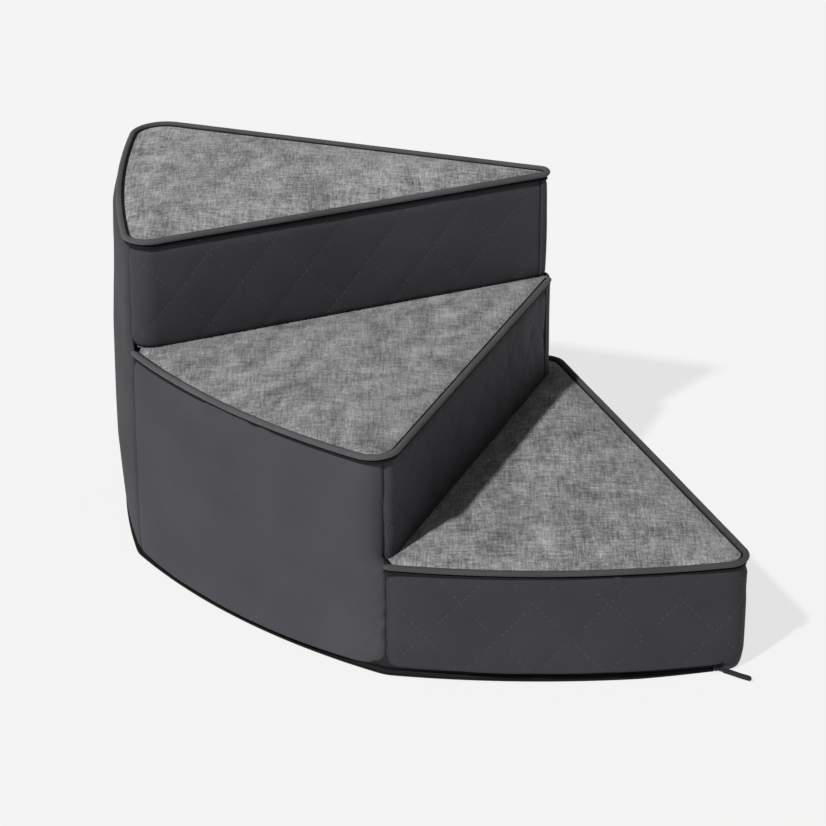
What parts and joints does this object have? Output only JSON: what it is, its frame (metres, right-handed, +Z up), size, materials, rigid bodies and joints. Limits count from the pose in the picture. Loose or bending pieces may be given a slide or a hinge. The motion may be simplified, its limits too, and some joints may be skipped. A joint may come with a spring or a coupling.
{
  "type": "corner pet stairs",
  "caption": "Fan-shaped foam pet stairs that turn round one tip, with soft plush treads, corded piping, quilted risers and a zipped removable cover.",
  "frame": {"origin": "centre of the bounding box's bottom face, on the floor", "axes": "+Z up, +X along the flat back from the tall step towards the lowest step's side, -Y towards the curved front"},
  "size_m": [0.7743, 0.5032, 0.347],
  "materials": {
    "firm_foam": "matte",
    "soft_foam": "matte",
    "tread_plush": "matte",
    "piping_fabric": "matte",
    "side_fabric": "matte",
    "quilted_fabric": "matte",
    "base_fabric": "matte",
    "grip_rubber": "matte",
    "binding_fabric": "matte",
    "zip_tape": "matte",
    "zip_coil": "satin",
    "zip_metal": "satin",
    "pull_strap": "matte"
  },
  "bodies": {
    "stair": {"foam_slab_1": "firm_foam", "foam_slab_2": "firm_foam", "foam_slab_3": "firm_foam", "comfort_layer_1": "soft_foam", "comfort_layer_2": "soft_foam", "comfort_layer_3": "soft_foam", "tread_cover_1": "tread_plush", "tread_cover_2": "tread_plush", "tread_cover_3": "tread_plush", "piping_1": "piping_fabric", "piping_2": "piping_fabric", "piping_3": "piping_fabric", "side_cover_1": "quilted_fabric", "side_cover_2": "side_fabric", "side_cover_3": "side_fabric", "riser_cover_2": "quilted_fabric", "riser_cover_3": "quilted_fabric", "back_cover": "side_fabric", "entry_cover": "quilted_fabric", "base_panel": "base_fabric", "grip_dots": "grip_rubber", "base_binding_back": "binding_fabric", "base_binding_entry": "binding_fabric", "zip_tape_upper": "zip_tape", "zip_tape_lower": "zip_tape", "zip_coil_upper": "zip_coil", "zip_coil_lower": "zip_coil", "zip_stops": "zip_metal"},
    "slider": {"zip_slider": "zip_metal"},
    "pull": {"pull_link": "zip_metal", "pull_tab": "pull_strap"}
  },
  "joints": [
    {"name": "zip_slide", "type": "hinge", "parent": "stair", "child": "slider", "pos_m": [-0.08385, 0.63343, 0], "axis": [0, 0, 1], "range_deg": [-19.4, 0]},
    {"name": "pull_swing", "type": "hinge", "parent": "slider", "child": "pull", "pos_m": [0.35022, -0.14669, 0.0043], "axis": [0, 0, 1], "range_deg": [-123, 32]}
  ]
}
